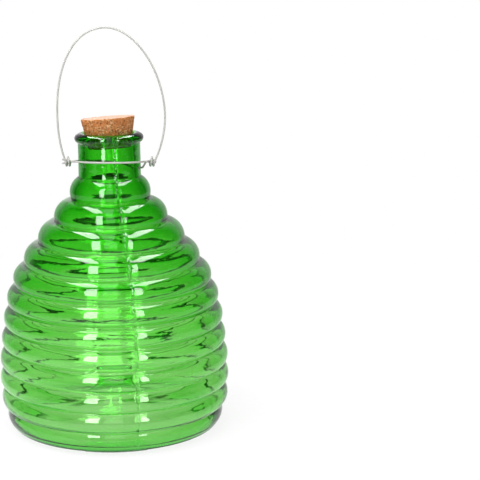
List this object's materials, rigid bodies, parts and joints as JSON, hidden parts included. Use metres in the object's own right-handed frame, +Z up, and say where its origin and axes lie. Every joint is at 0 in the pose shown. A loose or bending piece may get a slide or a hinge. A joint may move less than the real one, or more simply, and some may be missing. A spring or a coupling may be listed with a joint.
{
  "type": "glass fly trap",
  "caption": "Beehive-shaped ribbed green glass fly trap with an entry funnel in its base, a tapered cork in the neck and a swinging wire bail to hang it by.",
  "frame": {"origin": "on the bottle's axis, at the surface that its three pads stand on", "axes": "+Z up along the bottle's axis; the wire's hinge line runs along X, tilted 1.4 degrees, and -Y faces the picture's camera"},
  "size_m": [0.1396, 0.1396, 0.2411],
  "materials": {
    "green_glass": "clear green moulded glass, glossy, slightly wavy inside",
    "cork": "agglomerated cork, matt, speckled",
    "galvanised_wire": "bright galvanised steel wire"
  },
  "bodies": {
    "bottle": {"glass_bottle": "green_glass", "neck_wire": "galvanised_wire"},
    "cork": {"cork_stopper": "cork"},
    "bail": {"bail_wire": "galvanised_wire"}
  },
  "joints": [
    {"name": "cork_lift", "type": "slide", "parent": "bottle", "child": "cork", "axis": [0, 0, 1], "range_m": [0, 0.04]},
    {"name": "bail_swing", "type": "hinge", "parent": "bottle", "child": "bail", "pos_m": [0, 0, 0.1615], "axis": [0.9997, 0, -0.0244], "range_deg": [-130, 130]}
  ]
}
